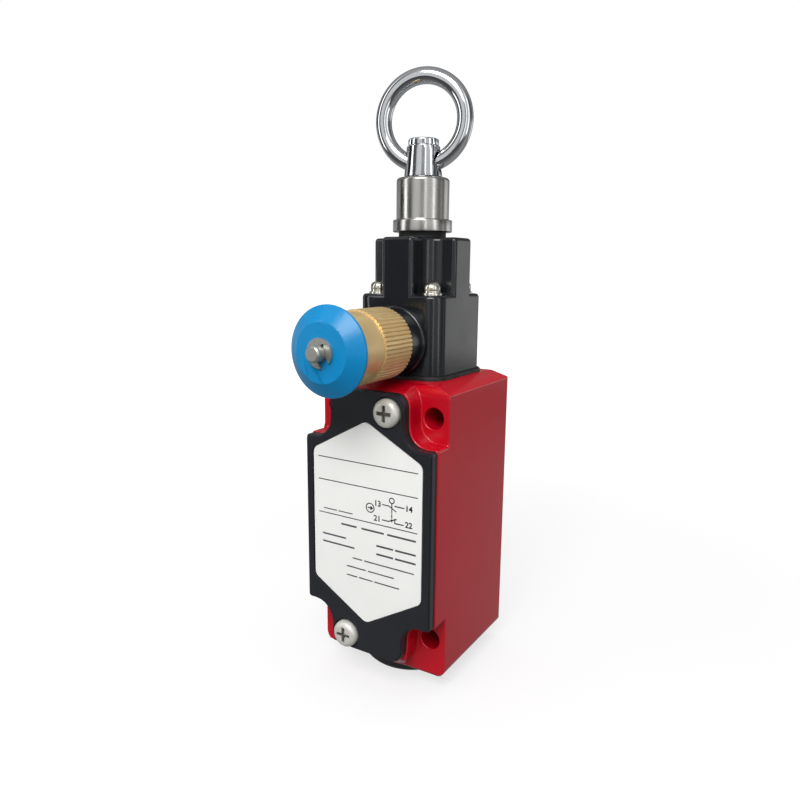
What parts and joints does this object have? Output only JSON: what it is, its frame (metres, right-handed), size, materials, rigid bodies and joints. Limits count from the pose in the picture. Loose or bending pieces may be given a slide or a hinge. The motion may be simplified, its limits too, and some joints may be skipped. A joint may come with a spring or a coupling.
{
  "type": "rope pull switch",
  "caption": "Rope pull safety switch: red metal box with black cover, cross-shaped black head, steel pull eye with ring, and a blue pull-to-reset knob on a knurled brass guide.",
  "frame": {"origin": "centre of the four fixing holes, on the back face of the housing", "axes": "+Z along the rod towards the pull ring, -Y out of the front cover, +X to the right seen from the front"},
  "size_m": [0.039, 0.0659, 0.1631],
  "materials": {
    "red_paint": "gloss",
    "black_cover": "semi-gloss",
    "label_white": "satin",
    "zinc_screws": "satin",
    "black_moulding": "satin",
    "black_head": "gloss",
    "black_rubber": "matte",
    "bronze": "satin",
    "stainless_steel": "turned",
    "chrome_plate": "polished",
    "hardened_steel": "ground",
    "spring_steel": "drawn",
    "brass": "satin",
    "blue_plastic": "satin",
    "contact_moulding": "matte",
    "plunger_moulding": "matte",
    "contact_copper": "satin"
  },
  "bodies": {
    "switch_body": {"housing": "red_paint", "cover": "black_cover", "label_plate": "label_white", "cover_screws": "zinc_screws", "head_screws": "zinc_screws", "head_washers": "zinc_screws", "head_lock_washers": "zinc_screws", "terminal_screws": "zinc_screws", "terminal_saddles": "zinc_screws", "block_screws": "zinc_screws", "conduit_bush": "black_moulding", "head_housing": "black_head", "cover_gasket": "black_rubber", "conduit_seal": "black_rubber", "head_gasket": "black_rubber", "neck_seal": "black_rubber", "rod_wiper": "black_rubber", "rod_guide": "bronze", "guide_sleeve": "stainless_steel", "main_spring": "spring_steel", "reset_spring": "spring_steel", "plunger_spring": "spring_steel", "reset_guide": "brass", "earth_screw": "brass", "earth_saddle": "brass", "contact_base": "contact_moulding", "contact_front": "contact_moulding", "fixed_contacts_nc": "contact_copper", "fixed_contacts_no": "contact_copper"},
    "rod": {"pull_rod": "chrome_plate", "latch_collar": "hardened_steel", "lock_nut": "zinc_screws"},
    "ring": {"pull_ring": "chrome_plate"},
    "reset": {"reset_shaft": "stainless_steel", "reset_knob": "blue_plastic", "retaining_clip": "stainless_steel"},
    "contact_carrier": {"contact_plunger": "plunger_moulding", "bridge_nc": "contact_copper", "bridge_no": "contact_copper", "bridge_springs": "spring_steel"}
  },
  "joints": [
    {"name": "rope_pull", "type": "slide", "parent": "switch_body", "child": "rod", "axis": [0, 0, 1], "range_m": [0, 0.005], "stiffness_N_per_m": 2500, "springref_m": -0.008, "deforming": ["main_spring"]},
    {"name": "ring_swing", "type": "hinge", "parent": "rod", "child": "ring", "pos_m": [0, -0.0176, 0.09465], "axis": [0.9703, 0.2419, 0], "range_deg": [-80, 80]},
    {"name": "reset_pull", "type": "slide", "parent": "switch_body", "child": "reset", "axis": [0, -1, 0], "range_m": [0, 0.0045], "stiffness_N_per_m": 900, "springref_m": -0.004, "deforming": ["reset_spring"]},
    {"name": "contact_follow", "type": "slide", "parent": "switch_body", "child": "contact_carrier", "axis": [0, 0, 1], "range_m": [0, 0.005], "deforming": ["plunger_spring"]}
  ],
  "couplings": [
    {"joint": "contact_follow", "follows": "rope_pull", "ratio": 1}
  ]
}
